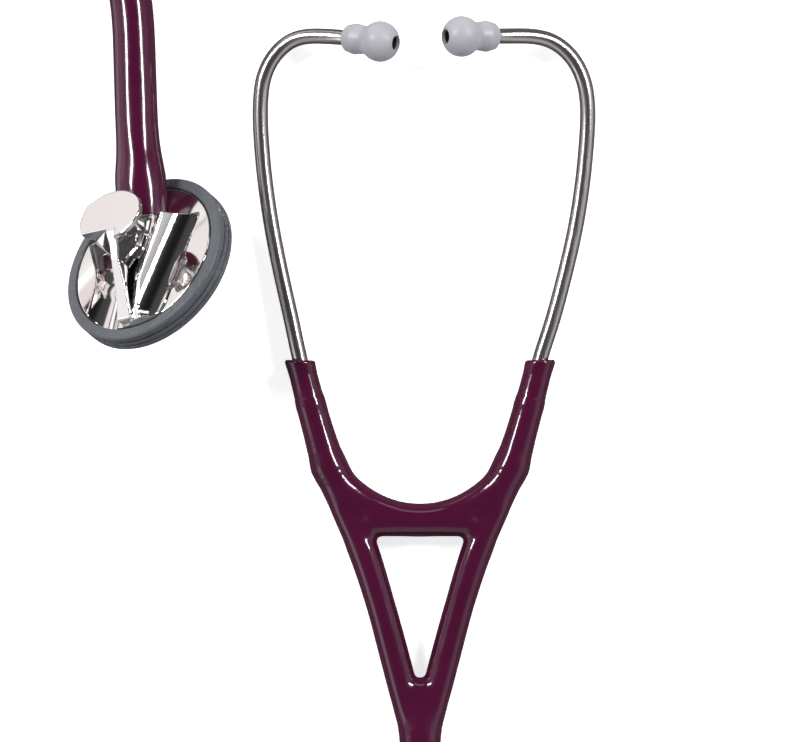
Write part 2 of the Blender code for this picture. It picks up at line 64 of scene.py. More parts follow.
# The radius of a leg and its branch at heights above the yoke's end.
LEG_HEIGHTS = (
    -0.6, 1.5, 6.8, 13.6, 27.3, 40.9, 56.8, 62.0, 69.5, 75.0,
    79.2, 84.8, 89.0, 95.0, 97.6, 100.2, 106.0, 109.0, 111.0,
)
LEG_RADII = (
    5.1, 5.05, 4.6, 4.2, 4.2, 4.1, 4.4, 4.05, 3.8, 4.0,
    4.85, 4.7, 4.45, 4.3, 4.4, 4.05, 3.98, 4.2, 4.35,
)
BRIDGE_RADIUS = 4.45
BAR_RADIUS = 4.35
BRANCH_RECESS_RADIUS = 3.15
BLEND_REACH = 13.0
TIP_TILT = math.radians(29.0)

# Chestpiece: its own frame has +X along the stem in the plan of the rim, +Z out of the back.
CHEST_CENTRE = Vector((-77.7, 138.5, 22.6))
CHEST_ROTATION = (
    Matrix.Rotation(math.radians(137.9), 3, "Z")
    @ Matrix.Rotation(math.radians(46.1), 3, "Y")
    @ Matrix.Rotation(math.radians(-47.8), 3, "Z")
)
STEM_START = Vector((12.5, 0.0, 4.1))
STEM_RISE = math.radians(23.8)
STEM_AXIS = Vector((math.cos(STEM_RISE), 0.0, math.sin(STEM_RISE)))
BASE_RADIUS = 22.7
BASE_BOTTOM = -3.8
CORE_BOTTOM = -3.0
WEB_STEP = 1.2
REST_CHORD = -1.9
RIM_RADIUS = 26.1
BUTTON_TOP = 19.3
REST_CENTRE = (2.6, -1.3)
REST_HALF = (8.0, 10.2)
STEM_SEAT = -2.2
RIDGE_ALONG = (-24.0, -23.0, -17.5, -12.0, -8.2, -5.3, -2.8, 2.0)
RIDGE_TOP = (3.3, 3.8, 6.9, 10.6, 13.3, 15.9, 19.1, 20.5)
RIDGE_HALF = (2.6, 2.55, 1.8, 1.55, 1.25, 1.35, 1.7, 2.6)
RIDGE_ASIDE = (-0.85, -0.85, -1.2, -1.15, -1.15, -1.95, -2.7, -2.9)
FLANK_ALONG = (-24.0, -17.0, -9.0, 3.0, 10.4)
CREST_TOP = (2.4, 5.0, 7.5, 9.3, 9.5)
FOOT_HALF = (8.8, 11.6, 13.9, 16.0, 17.2)
WEDGE_ALONG = (-24.0, -18.0, 9.2, 12.0)
WEDGE_HALF = (1.0, 1.3, 5.9, 6.4)

# The hose's free route, as in the frame.
HOSE_ROUTE = (
    (0.0, -0.4, 5.2),
    (0.0, -6.0, 5.5),
    (-2.6, -16.5, 5.9),
    (-9.8, -27.6, 5.9),
    (-20.8, -36.0, 5.9),
    (-34.5, -40.2, 5.9),
    (-50.0, -40.2, 5.9),
    (-69.0, -36.4, 5.9),
    (-89.6, -29.8, 5.9),
    (-110.4, -18.2, 5.9),
    (-128.0, -1.6, 5.9),
    (-140.8, 20.0, 5.9),
    (-149.2, 44.5, 5.9),
    (-153.5, 70.0, 5.9),
    (-156.4, 98.0, 5.9),
    (-158.0, 128.0, 5.9),
    (-159.6, 158.0, 5.9),
    (-161.2, 186.0, 5.9),
    (-161.8, 208.0, 5.9),
    (-158.4, 225.5, 5.9),
    (-149.4, 240.0, 5.9),
    (-136.0, 249.2, 5.9),
    (-120.6, 251.8, 5.9),
    (-105.4, 247.8, 6.0),
    (-92.8, 238.4, 6.4),
    (-85.0, 225.4, 7.5),
    (-81.6, 210.0, 9.8),
    (-80.6, 192.0, 13.0),
)

LEFT_EAR_ROUTE = (
    (-36.4, 120.8, 4.8),
    (-39.5, 134.5, 4.0),
    (-42.2, 148.1, 3.3),
    (-44.2, 161.8, 2.8),
    (-45.35, 175.4, 2.5),
    (-45.4, 183.5, 2.4),
    (-44.6, 190.5, 2.5),
    (-41.6, 196.6, 3.0),
    (-36.8, 200.9, 4.5),
    (-31.6, 202.0, 6.5),
)
RIGHT_EAR_ROUTE = (
    (37.5, 120.8, 4.8),
    (41.2, 134.5, 4.0),
    (44.3, 148.1, 3.3),
    (46.4, 161.8, 2.8),
    (47.6, 175.4, 2.5),
    (47.7, 182.6, 2.4),
    (46.8, 189.2, 2.5),
    (43.6, 195.8, 3.0),
    (38.4, 200.4, 4.4),
    (32.6, 201.9, 6.4),
)
LEFT_TIP_BACK = Vector((-21.9, 201.3, 10.2))
LEFT_TIP_HEADING = math.radians(-8.0)
RIGHT_TIP_BACK = Vector((22.3, 201.7, 10.2))
RIGHT_TIP_HEADING = math.radians(182.5)

# The camera looks straight down at the layout.
VIEW_CENTRE = Vector((-5.7, 106.9, 0.0))
VIEW_HEIGHT = 1500.0
VIEW_WIDTH = 228.0
SENSOR_WIDTH = 36.0


def place(point):
    """A layout point in the frame's metres."""
    return (Vector(point) + LAYOUT_OFFSET) * MM


def chest_point(point):
    """A layout point from one in the chestpiece's own frame."""
    return CHEST_CENTRE + CHEST_ROTATION @ Vector(point)


LAYOUT_PLACE = Matrix.Translation(LAYOUT_OFFSET * MM)
CHEST_PLACE = Matrix.Translation(place(CHEST_CENTRE)) @ CHEST_ROTATION.to_4x4()
STEM_TURN = STEM_AXIS.to_track_quat("Z", "Y").to_matrix().to_4x4()
STEM_PLACE = CHEST_PLACE @ Matrix.Translation(STEM_START * MM) @ STEM_TURN


# ---------------------------------------------------------------- camera

def make_camera():
    data = bpy.data.cameras.new("camera")
    data.sensor_width = SENSOR_WIDTH
    data.lens = SENSOR_WIDTH * VIEW_HEIGHT / VIEW_WIDTH
    camera = bpy.data.objects.new("camera", data)
    bpy.context.scene.collection.objects.link(camera)
    camera.location = place((VIEW_CENTRE.x, VIEW_CENTRE.y, VIEW_HEIGHT))
    bpy.context.scene.camera = camera


make_camera()


# ---------------------------------------------------------------- materials

class Nodes:
    """A Principled material that is built one node at a time."""

    def __init__(self, name):
        self.material = bpy.data.materials.new(name)
        self.material.use_nodes = True
        self.tree = self.material.node_tree
        self.shader = self.tree.nodes["Principled BSDF"]

    def add(self, kind, **values):
        node = self.tree.nodes.new(kind)
        for key, value in values.items():
            if key in node.inputs:
                node.inputs[key].default_value = value
            else:
                setattr(node, key, value)
        return node

    def link(self, source, target):
        self.tree.links.new(source, target)

    def set(self, **values):
        for key, value in values.items():
            self.shader.inputs[key.replace("_", " ")].default_value = value

    def place_of(self, scale=(1.0, 1.0, 1.0)):
        coordinates = self.add("ShaderNodeTexCoord")
        mapping = self.add("ShaderNodeMapping")
        mapping.inputs["Scale"].default_value = scale
        self.link(coordinates.outputs["Object"], mapping.inputs["Vector"])
        return mapping.outputs["Vector"]

    def noise(self, scale, detail=2.0, roughness=0.5, stretch=(1.0, 1.0, 1.0)):
        node = self.add("ShaderNodeTexNoise", Scale=scale, Detail=detail, Roughness=roughness)
        self.link(self.place_of(stretch), node.inputs["Vector"])
        return node.outputs["Fac"]

    def range(self, value, low, high, start=0.0, end=1.0):
        node = self.add("ShaderNodeMapRange")
        node.inputs["From Min"].default_value = start
        node.inputs["From Max"].default_value = end
        node.inputs["To Min"].default_value = low
        node.inputs["To Max"].default_value = high
        self.link(value, node.inputs["Value"])
        return node.outputs["Result"]

    def mix(self, factor, first, second):
        node = self.add("ShaderNodeMix", data_type="RGBA")
        node.inputs["A"].default_value = (*first, 1.0)
        node.inputs["B"].default_value = (*second, 1.0)
        self.link(factor, node.inputs["Factor"])
        return node.outputs["Result"]

    def bump(self, height, strength, distance, after=None):
        node = self.add("ShaderNodeBump", Strength=strength, Distance=distance)
        self.link(height, node.inputs["Height"])
        if after:
            self.link(after, node.inputs["Normal"])
        return node.outputs["Normal"]

    def feed(self, socket, value):
        self.link(value, self.shader.inputs[socket])


def plum_pvc():
    m = Nodes("plum_pvc")
    m.feed("Base Color", m.mix(m.range(m.noise(60.0, 3.0), 0.0, 1.0, 0.3, 0.7),
                               (0.058, 0.0032, 0.0250), (0.072, 0.0042, 0.0310)))
    m.feed("Roughness", m.range(m.noise(240.0, 3.0), 0.11, 0.17, 0.3, 0.7))
    m.set(Metallic=0.0, IOR=1.53, Coat_Weight=0.25, Coat_Roughness=0.06)
    soft = m.bump(m.noise(150.0, 2.0), 0.10, 0.0004)
    m.feed("Normal", m.bump(m.noise(2400.0, 2.0), 0.05, 0.00005, soft))
    return m.material


def mirror_steel():
    m = Nodes("mirror_steel")
    m.feed("Base Color", m.mix(m.noise(90.0, 2.0), (0.86, 0.835, 0.825), (0.90, 0.875, 0.865)))
    m.feed("Roughness", m.range(m.noise(500.0, 3.0, 0.5), 0.050, 0.080, 0.35, 0.75))
    m.set(Metallic=1.0)
    return m.material


def satin_steel():
    m = Nodes("satin_steel")
    m.feed("Base Color", m.mix(m.noise(120.0, 2.0), (0.60, 0.555, 0.545), (0.68, 0.63, 0.62)))
    grain = m.noise(1400.0, 3.0, 0.6, (1.0, 0.04, 1.0))
    m.feed("Roughness", m.range(grain, 0.19, 0.26, 0.3, 0.7))
    m.set(Metallic=1.0)
    m.feed("Normal", m.bump(grain, 0.02, 0.00002))
    return m.material


def spring_steel():
    m = Nodes("spring_steel")
    m.feed("Base Color", m.mix(m.noise(300.0, 3.0), (0.36, 0.36, 0.38), (0.46, 0.46, 0.48)))
    m.feed("Roughness", m.range(m.noise(900.0, 3.0), 0.28, 0.42, 0.3, 0.7))
    m.set(Metallic=1.0)
    return m.material


def rim_rubber():
    m = Nodes("rim_rubber")
    m.feed("Base Color", m.mix(m.noise(40.0, 2.0), (0.106, 0.115, 0.128), (0.114, 0.123, 0.136)))
    m.feed("Roughness", m.range(m.noise(300.0, 2.0), 0.25, 0.31, 0.3, 0.7))
    m.set(Metallic=0.0, IOR=1.5)
    return m.material


def tip_rubber():
    m = Nodes("tip_rubber")
    m.feed("Base Color", m.mix(m.noise(160.0, 3.0), (0.415, 0.410, 0.450), (0.460, 0.455, 0.495)))
    m.feed("Roughness", m.range(m.noise(900.0, 3.0), 0.36, 0.46, 0.3, 0.7))
    m.set(Metallic=0.0, IOR=1.45, Subsurface_Weight=0.12, Subsurface_Scale=0.002)
    m.feed("Normal", m.bump(m.noise(2600.0, 2.0), 0.10, 0.00005))
    return m.material


def liner_plastic_painted_shade():
    m = Nodes("liner_plastic_painted_shade")
    # Near-black: partly the insert's own dark plastic, partly painted shade deep inside the ear tip's sound hole.
    m.feed("Base Color", m.mix(m.noise(300.0, 2.0), (0.012, 0.012, 0.013), (0.020, 0.020, 0.022)))
    m.set(Roughness=0.45)
    return m.material


def diaphragm_sheet():
    m = Nodes("diaphragm_sheet")
    weave = m.noise(1500.0, 2.0, 0.5)
    m.feed("Base Color", m.mix(weave, (0.50, 0.50, 0.48), (0.62, 0.62, 0.60)))
    m.feed("Roughness", m.range(weave, 0.30, 0.45, 0.3, 0.7))
    m.set(Metallic=0.0, IOR=1.5)
    m.feed("Normal", m.bump(weave, 0.15, 0.00005))
    return m.material


def black_rubber():
    m = Nodes("black_rubber")
    m.feed("Base Color", m.mix(m.noise(200.0, 2.0), (0.012, 0.012, 0.013), (0.022, 0.022, 0.024)))
    m.feed("Roughness", m.range(m.noise(900.0, 2.0), 0.40, 0.55, 0.3, 0.7))
    m.feed("Normal", m.bump(m.noise(2500.0, 2.0), 0.08, 0.00005))
    return m.material


PLUM = plum_pvc()
MIRROR = mirror_steel()
SATIN = satin_steel()
SPRING = spring_steel()
RIM = rim_rubber()
TIP = tip_rubber()
LINER_SHADE = liner_plastic_painted_shade()
SHEET = diaphragm_sheet()
BLACK = black_rubber()


# ---------------------------------------------------------------- mesh helpers

def new_piece(name, mesh, finish, body=None, nodes=()):
    piece = bpy.data.objects.new(name, mesh)
    bpy.context.scene.collection.objects.link(piece)
    mesh.materials.append(finish)
    if body:
        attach(piece, body)
    if nodes:
        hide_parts(*nodes)
    return piece


def lathe(name, profile, matrix, segments=192, smooth=40.0):
    """A closed ring of quads about local Z from a profile of (radius, height) in millimetres."""
    mesh = bpy.data.meshes.new(name)
    work = bmesh.new()
    rings = []
    for radius, height in profile:
        if radius < 1e-6:
            rings.append([work.verts.new((0.0, 0.0, height * MM))])
            continue
        rings.append([
            work.verts.new((radius * MM * math.cos(math.tau * i / segments),
                            radius * MM * math.sin(math.tau * i / segments), height * MM))
            for i in range(segments)
        ])
    pairs = list(zip(rings, rings[1:]))
    if len(rings[0]) > 1:
        pairs.append((rings[-1], rings[0]))
    for upper, lower in pairs:
        for i in range(segments):
            j = (i + 1) % segments
            corners = [upper[i % len(upper)], lower[i % len(lower)],
                       lower[j % len(lower)], upper[j % len(upper)]]
            corners = [c for k, c in enumerate(corners) if c not in corners[:k]]
            if len(corners) > 2:
                work.faces.new(corners)
    bmesh.ops.recalc_face_normals(work, faces=work.faces)
    work.transform(matrix)
    work.to_mesh(mesh)
    work.free()
    mesh.shade_smooth()
    mesh.set_sharp_from_angle(angle=math.radians(smooth))
    return mesh


def rounded(corners, steps=5, closed=True):
    """An outline whose corners (x, y, radius) become arcs, in millimetres."""
    points = []
    count = len(corners)
    for i, (x, y, radius) in enumerate(corners):
        here = np.array((x, y))
        ends = not closed and i in (0, count - 1)
        if radius <= 0.0 or ends:
            points.append((x, y))
            continue
        before = np.array(corners[i - 1][:2]) - here
        after = np.array(corners[(i + 1) % count][:2]) - here
        la, lb = np.linalg.norm(before), np.linalg.norm(after)
        a, b = before / la, after / lb
        half = math.acos(max(-1.0, min(1.0, float(a @ b)))) / 2
        reach = min(radius / math.tan(half), la * 0.48, lb * 0.48)
        start, end = here + a * reach, here + b * reach
        for k in range(steps + 1):
            t = k / steps
            point = (1 - t) ** 2 * start + 2 * t * (1 - t) * here + t * t * end
            points.append(tuple(point))
    return points


def smooth_path(route, spacing, passes=12):
    """Evenly spaced points on a smooth curve through the route, as an array in millimetres."""
    knots = [np.array(p, float) for p in route]
    knots = [2 * knots[0] - knots[1]] + knots + [2 * knots[-1] - knots[-2]]
    raw = []
    for a, b, c, d in zip(knots, knots[1:], knots[2:], knots[3:]):
        for i in range(24):
            t = i / 24
            raw.append(0.5 * (2 * b + (c - a) * t + (2 * a - 5 * b + 4 * c - d) * t * t
                              + (3 * b - a - 3 * c + d) * t ** 3))
    raw.append(knots[-2])
    raw = np.array(raw)
    lengths = np.concatenate(([0.0], np.cumsum(np.linalg.norm(np.diff(raw, axis=0), axis=1))))
    count = max(2, int(round(lengths[-1] / spacing)))
    wanted = np.linspace(0.0, lengths[-1], count + 1)
    path = np.stack([np.interp(wanted, lengths, raw[:, k]) for k in range(3)], axis=1)
    for _ in range(passes):
        path[2:-2] = path[2:-2] * 0.5 + (path[1:-3] + path[3:-1]) * 0.25
    return path


def path_lengths(path):
    return np.concatenate(([0.0], np.cumsum(np.linalg.norm(np.diff(path, axis=0), axis=1))))


def path_frames(path):
    """Two unit vectors across the path at each point, carried along without twist."""
    ahead = np.gradient(path, axis=0)
    ahead /= np.linalg.norm(ahead, axis=1)[:, None]
    across = np.cross(ahead[0], (0.0, 0.0, 1.0))
    if np.linalg.norm(across) < 0.1:
        across = np.cross(ahead[0], (1.0, 0.0, 0.0))
    firsts = []
    for direction in ahead:
        across = across - direction * float(across @ direction)
        across = across / np.linalg.norm(across)
        firsts.append(across)
    firsts = np.array(firsts)
    return firsts, np.cross(ahead, firsts)


def swept(name, path, radii, sides=40, end_profiles=((), ())):
    """A round tube along a path. Each end profile is (radius, setback) rings that close that end."""
    first, second = path_frames(path)
    ahead = np.gradient(path, axis=0)
    ahead /= np.linalg.norm(ahead, axis=1)[:, None]
    rings = []
    for radius, setback in reversed(end_profiles[0]):
        rings.append((path[0] + ahead[0] * setback, radius, 0))
    for i in range(len(path)):
        rings.append((path[i], radii[i], i))
    for radius, setback in end_profiles[1]:
        rings.append((path[-1] - ahead[-1] * setback, radius, len(path) - 1))
    angles = np.arange(sides) * math.tau / sides
    vertices = []
    for centre, radius, i in rings:
        circle = np.cos(angles)[:, None] * first[i] + np.sin(angles)[:, None] * second[i]
        vertices.append(centre + radius * circle)
    vertices = np.concatenate(vertices) + np.array(LAYOUT_OFFSET)
    faces = []
    for ring in range(len(rings) - 1):
        for k in range(sides):
            a, b = ring * sides + k, ring * sides + (k + 1) % sides
            faces.append((a, b, b + sides, a + sides))
    faces.append(tuple(reversed(range(sides))))
    last = (len(rings) - 1) * sides
    faces.append(tuple(range(last, last + sides)))
    mesh = bpy.data.meshes.new(name)
    mesh.from_pydata((vertices * MM).tolist(), [], faces)
    work = bmesh.new()
    work.from_mesh(mesh)
    bmesh.ops.recalc_face_normals(work, faces=work.faces)
    work.to_mesh(mesh)
    work.free()
    mesh.shade_smooth()
    mesh.set_sharp_from_angle(angle=math.radians(50.0))
    return mesh


# ---------------------------------------------------------------- smooth solids from distance fields

def join(a, b, k):
    """The smaller of two distances, with a fillet of about k where they meet."""
    h = np.maximum(k - np.abs(a - b), 0.0) / k
    return np.minimum(a, b) - h * h * k * 0.25


def cross(a, b, k):
    """The larger of two distances, with a round of about k where they meet."""
    return -join(-a, -b, k)


def cut(a, b, k):
    """Distance a with the solid of distance b taken away."""
    return cross(a, -b, k)


def round_cone(p, start, end, start_radius, end_radius):
    """Distance to a bar between two points whose radius runs from one value to the other."""
    axis = np.array(end, float) - np.array(start, float)
    length = float(axis @ axis)
    offset = [p[k] - start[k] for k in range(3)]
    t = np.clip((offset[0] * axis[0] + offset[1] * axis[1] + offset[2] * axis[2]) / length, 0.0, 1.0)
    distance = np.sqrt(sum((offset[k] - axis[k] * t) ** 2 for k in range(3)))
    return distance - (start_radius + (end_radius - start_radius) * t)


def chain(p, path, radii):
    distance = None
    for i in range(len(path) - 1):
        step = round_cone(p, path[i], path[i + 1], radii[i], radii[i + 1])
        distance = step if distance is None else np.minimum(distance, step)
    return distance


def along_axis(p, origin, direction):
    """(distance along, distance from) an axis."""
    offset = [p[k] - origin[k] for k in range(3)]
    s = sum(offset[k] * direction[k] for k in range(3))
    r2 = sum(offset[k] ** 2 for k in range(3)) - s * s
    return s, np.sqrt(np.maximum(r2, 0.0))


def solid_mesh(name, field, low, high, step):
    """The surface of a distance field as quads whose corners lie on it: (mesh, unit normals)."""
    axes = [np.arange(a, b + step, step) for a, b in zip(low, high)]
    grid = np.meshgrid(*axes, indexing="ij", sparse=True)
    values = np.broadcast_to(field(grid), [len(a) for a in axes]).astype(np.float32)
    inside = values < 0.0
    shape = np.array(values.shape)
    corners = [(i, j, k) for i in (0, 1) for j in (0, 1) for k in (0, 1)]

    def window(array, corner):
        return array[tuple(slice(c, n - 1 + c) for c, n in zip(corner, shape))]

    count = sum(window(inside, c).astype(np.int8) for c in corners)
    cells = np.argwhere((count > 0) & (count < 8))
    index = -np.ones(shape - 1, np.int64)
    index[tuple(cells.T)] = np.arange(len(cells))
    total = np.zeros((len(cells), 3))
    hits = np.zeros(len(cells))
    for a in corners:
        for b in corners:
            if sum(b) - sum(a) != 1 or any(y < x for x, y in zip(a, b)):
                continue
            va = values[tuple((cells + a).T)]
            vb = values[tuple((cells + b).T)]
            crossing = (va < 0) != (vb < 0)
            t = np.where(crossing, va / np.where(crossing, va - vb, 1.0), 0.0)
            point = np.array(a) + t[:, None] * (np.array(b) - np.array(a))
            total += point * crossing[:, None]
            hits += crossing
    points = np.array(low) + (cells + total / hits[:, None]) * step

    def slope(where):
        reach = step * 0.25
        parts = []
        for k in range(3):
            shift = np.zeros(3)
            shift[k] = reach
            parts.append((field((where + shift).T) - field((where - shift).T)) / (2 * reach))
        return np.stack(parts, axis=1)

    for _ in range(3):
        gradient = slope(points)
        size = np.maximum((gradient ** 2).sum(axis=1), 0.05)
        move = -field(points.T)[:, None] * gradient / size[:, None]
        points = points + np.clip(move, -0.5 * step, 0.5 * step)
    normals = slope(points)
    normals /= np.maximum(np.linalg.norm(normals, axis=1)[:, None], 1e-9)

    faces = []
    for axis in range(3):
        ahead = [0, 0, 0]
        ahead[axis] = 1
        first = inside[tuple(slice(0, n - 1) if k == axis else slice(1, n - 1) for k, n in enumerate(shape))]
        second = inside[tuple(slice(1, n) if k == axis else slice(1, n - 1) for k, n in enumerate(shape))]
        for flip, where in ((False, first & ~second), (True, ~first & second)):
            at = np.argwhere(where)
            at[:, [k for k in range(3) if k != axis]] += 1
            b, c = [k for k in range(3) if k != axis]
            quads = []
            for db, dc in ((1, 1), (0, 1), (0, 0), (1, 0)):
                cell = at.copy()
                cell[:, b] -= db
                cell[:, c] -= dc
                quads.append(index[tuple(cell.T)])
            quad = np.stack(quads, axis=1)
            if flip == (axis != 1):
                quad = quad[:, ::-1]
            faces.append(quad)
    faces = np.concatenate(faces)
    mesh = bpy.data.meshes.new(name)
    mesh.from_pydata(points.tolist(), [], faces.tolist())
    return mesh, normals


def finish_solid(mesh, normals, matrix):
    """Puts a distance-field mesh in place, in metres, with the field's own normals."""
    mesh.transform(matrix @ Matrix.Diagonal((MM, MM, MM, 1.0)))
    turn = np.array(matrix.to_3x3().normalized())
    mesh.shade_smooth()
    mesh.normals_split_custom_set_from_vertices((normals @ turn.T).tolist())


# ---------------------------------------------------------------- yoke and branches

def side_point(side, x, y):
    return (side * x, y, YOKE_HEIGHT)


def branch_axis(side):
    return np.array((side * math.sin(BRANCH_LEAN), math.cos(BRANCH_LEAN), 0.0))


def yoke_parts():
    """Paths and radii of the moulding's bars: legs with their branches, the U bridge and its bar."""
    bars = []
    for side in (-1, 1):
        top = np.array(side_point(side, HINGE.x, HINGE.y)) + branch_axis(side) * (BRANCH_LENGTH + 6.0)
        route = [tuple(top), side_point(side, 31.3, 98.5), side_point(side, 26.3, 81.0),
                 side_point(side, 22.3, 69.5), side_point(side, 16.4, 56.8), side_point(side, 11.3, 40.9),
                 side_point(side, 7.6, 27.3), side_point(side, 4.0, 13.6), side_point(side, 1.7, 6.8),
                 side_point(side, 0.4, 1.5), side_point(side, 0.3, -0.6)]
        path = smooth_path(route, 1.5, 6)
        bars.append((path, np.interp(path[:, 1], LEG_HEIGHTS, LEG_RADII)))
    route = [side_point(-1, 25.8, 79.9), side_point(-1, 21.8, 74.0), side_point(-1, 15.0, 68.8),
             side_point(-1, 8.4, 65.9), side_point(1, 0.0, 64.6), side_point(1, 8.4, 65.9),
             side_point(1, 15.0, 68.8), side_point(1, 21.8, 74.0), side_point(1, 25.8, 79.9)]
    bridge = smooth_path(route, 2.0, 4)
    bars.append((bridge, np.full(len(bridge), BRIDGE_RADIUS)))
    bar = np.array([side_point(-1, 13.5, 64.3), side_point(1, 13.5, 64.3)])
    bars.append((bar, np.full(len(bar), BAR_RADIUS)))
    return bars


YOKE_BARS = yoke_parts()


def yoke_field(p):
    left, right, bridge, bar = (chain(p, path, radii) for path, radii in YOKE_BARS)
    legs = join(left, right, 2.6)
    web = round_cone(p, side_point(1, 0.0, 15.6), side_point(1, 0.0, 5.0), 3.7, 4.6)
    legs = join(legs, web, 2.4)
    span = join(bridge, bar, 1.0)
    body = join(legs, span, 2.6)
    for side in (-1, 1):
        hinge = side_point(side, HINGE.x, HINGE.y)
        s, r = along_axis(p, hinge, branch_axis(side))
        body = cross(body, p[1] - BRANCH_TOP, 1.5)
        bore = np.maximum(r - EAR_TUBE_RADIUS - 0.12, BRANCH_TOP - 6.0 - p[1])
        recess = np.maximum(r - BRANCH_RECESS_RADIUS, BRANCH_TOP - 0.8 - p[1])
        body = cut(cut(body, recess, 0.5), bore, 0.3)
    return cross(body, -p[1], 0.2)


def cut_piece(name, mesh, normals, planes):
    """The part of a mesh beyond every (point, direction) plane, capped, with its normals."""
    work = bmesh.new()
    work.from_mesh(mesh)
    layer = work.verts.layers.float_vector.new("field_normal")
    for vertex, normal in zip(work.verts, normals):
        vertex[layer] = normal
    for point, direction in planes:
        bmesh.ops.bisect_plane(work, geom=work.verts[:] + work.edges[:] + work.faces[:], dist=1e-5,
                               plane_co=point, plane_no=direction, clear_inner=True)
        rim = [e for e in work.edges if e.is_boundary]
        caps = bmesh.ops.holes_fill(work, edges=rim, sides=0)["faces"]
        for face in caps:
            for edge in face.edges:
                edge.smooth = False
            face.smooth = False
    bmesh.ops.recalc_face_normals(work, faces=work.faces)
    piece = bpy.data.meshes.new(name)
    work.to_mesh(piece)
    kept = np.array([vertex[layer] for vertex in work.verts])
    work.free()
    return piece, kept


def smooth_with_caps(mesh, normals, matrix):
    """Field normals on the curved surface, flat normals on the caps."""
    mesh.transform(matrix @ Matrix.Diagonal((MM, MM, MM, 1.0)))
    turn = np.array(matrix.to_3x3().normalized())
    normals = normals / np.maximum(np.linalg.norm(normals, axis=1)[:, None], 1e-9)
    world = normals @ turn.T
    loops = []
    for polygon in mesh.polygons:
        flat = len(polygon.vertices) > 8
        polygon.use_smooth = not flat
        for vertex in polygon.vertices:
            loops.append(tuple(polygon.normal) if flat else tuple(world[vertex]))
    mesh.normals_split_custom_set(loops)



def make_yoke():
    step = 0.5
    whole, normals = solid_mesh("yoke_whole", yoke_field, (-42.0, -1.0, -0.5), (42.0, 112.0, 10.7), step)
    seams = {}
    for side in (-1, 1):
        axis = branch_axis(side)
        seam = np.array(side_point(side, HINGE.x, HINGE.y)) - axis * (BLEND_REACH + 2.0)
        seams[side] = (Vector(seam), Vector(axis))
    core, kept = cut_piece("yoke_skin", whole, normals, [(point, -axis) for point, axis in seams.values()])
    smooth_with_caps(core, kept, LAYOUT_PLACE)
    new_piece("yoke_skin", core, PLUM, "tubing_and_chestpiece", ["yoke_core"])
    for side, word in ((-1, "left"), (1, "right")):
        point, axis = seams[side]
        middle = (Vector((0.0, 0.0, 0.0)), Vector((side, 0.0, 0.0)))
        mesh, kept = cut_piece(f"{word}_branch_skin", whole, normals, [middle, (point, axis)])
        smooth_with_caps(mesh, kept, LAYOUT_PLACE)
        piece = new_piece(f"{word}_branch_skin", mesh, PLUM, None, [f"{word}_branch"])
        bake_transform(piece)
    bpy.data.meshes.remove(whole)


make_yoke()


# ---------------------------------------------------------------- ear tubes and ear tips

def tip_axis(heading):
    return Vector((math.cos(TIP_TILT) * math.cos(heading), math.cos(TIP_TILT) * math.sin(heading),
                   math.sin(TIP_TILT)))


def make_ear_tube(word, side, route, tip_back, heading):
    hinge = Vector(side_point(side, HINGE.x, HINGE.y))
    axis = Vector(branch_axis(side))
    out = tip_axis(heading)
    points = [hinge + axis * (BRANCH_LENGTH - 13.4), hinge + axis * (BRANCH_LENGTH - 5.0),
              hinge + axis * (BRANCH_LENGTH + 2.0), *route,
              tip_back - out * 1.5, tip_back + out * 2.2, tip_back + out * 5.8]
    path = smooth_path(points, 1.2, 10)
    r = EAR_TUBE_RADIUS
    mouth = ((r - 0.12, 0.0), (r - 0.5, 0.0), (r - 0.55, 0.3), (r - 0.55, 3.0))
    mesh = swept(f"{word}_ear_pipe", path, np.full(len(path), r), 48, (mouth, mouth))
    new_piece(f"{word}_ear_pipe", mesh, SATIN, f"{word}_ear_tube", [f"{word}_ear_tube"])


def make_ear_tip(word, tip_back, heading):
    """Bulb, waist and lobe in one soft skin, a round-lipped sound hole, and the liner inside it, near-black as
    painted shade deep in the hole.
    """
    bulb_centre, bulb_radius = 12.2, 5.75
    outer = []
    for i in range(25):
        angle = math.radians(68.0 - i * 110.0 / 24)
        outer.append((bulb_radius * math.cos(angle), bulb_centre + 5.6 * math.sin(angle)))
    waist = rounded([
        (outer[-1][0], outer[-1][1], 0.0), (3.95, 7.35, 1.8), (4.45, 4.2, 2.2), (3.7, 1.5, 1.2),
        (2.55, 0.95, 0.4),
        (2.3, 1.15, 0.1), (2.3, 6.6, 0.1), (2.05, 6.8, 0.1), (2.05, 16.6, 0.3), (2.12, 17.25, 0.35),
        (outer[0][0], outer[0][1], 0.0),
    ], 8, closed=False)
    facing = tip_axis(heading).to_track_quat("Z", "Y").to_matrix().to_4x4()
    turn = Matrix.Translation(place(tip_back)) @ facing
    mesh = lathe(f"{word}_ear_bulb", outer[:-1] + waist[:-1], turn, 96, 60.0)
    new_piece(f"{word}_ear_bulb", mesh, TIP, f"{word}_ear_tip", [f"{word}_ear_tip"])
    # The liner's near-black finish is painted shade inside the sound hole.
    liner = rounded([
        (1.75, 6.9, 0.1), (2.03, 6.9, 0.1), (2.03, 16.5, 0.1), (1.75, 16.5, 0.1),
    ], 3)
    mesh = lathe(f"{word}_ear_liner", liner, turn, 64, 40.0)
    new_piece(f"{word}_ear_liner", mesh, LINER_SHADE, f"{word}_ear_tip", [f"{word}_tip_insert"])
    ring = rounded([
        (2.21, 0.5, 0.1), (2.42, 0.5, 0.15), (2.42, 1.4, 0.15), (2.21, 1.4, 0.1),
    ], 3)
    mesh = lathe(f"{word}_stop_ring", ring, turn, 64, 40.0)
    new_piece(f"{word}_stop_ring", mesh, SATIN, f"{word}_ear_tube", [f"{word}_tip_stop"])


for word, side, route, tip_back, heading in (
    ("left", -1, LEFT_EAR_ROUTE, LEFT_TIP_BACK, LEFT_TIP_HEADING),
    ("right", 1, RIGHT_EAR_ROUTE, RIGHT_TIP_BACK, RIGHT_TIP_HEADING),
):
    make_ear_tube(word, side, route, tip_back, heading)
    make_ear_tip(word, tip_back, heading)


# ---------------------------------------------------------------- chestpiece

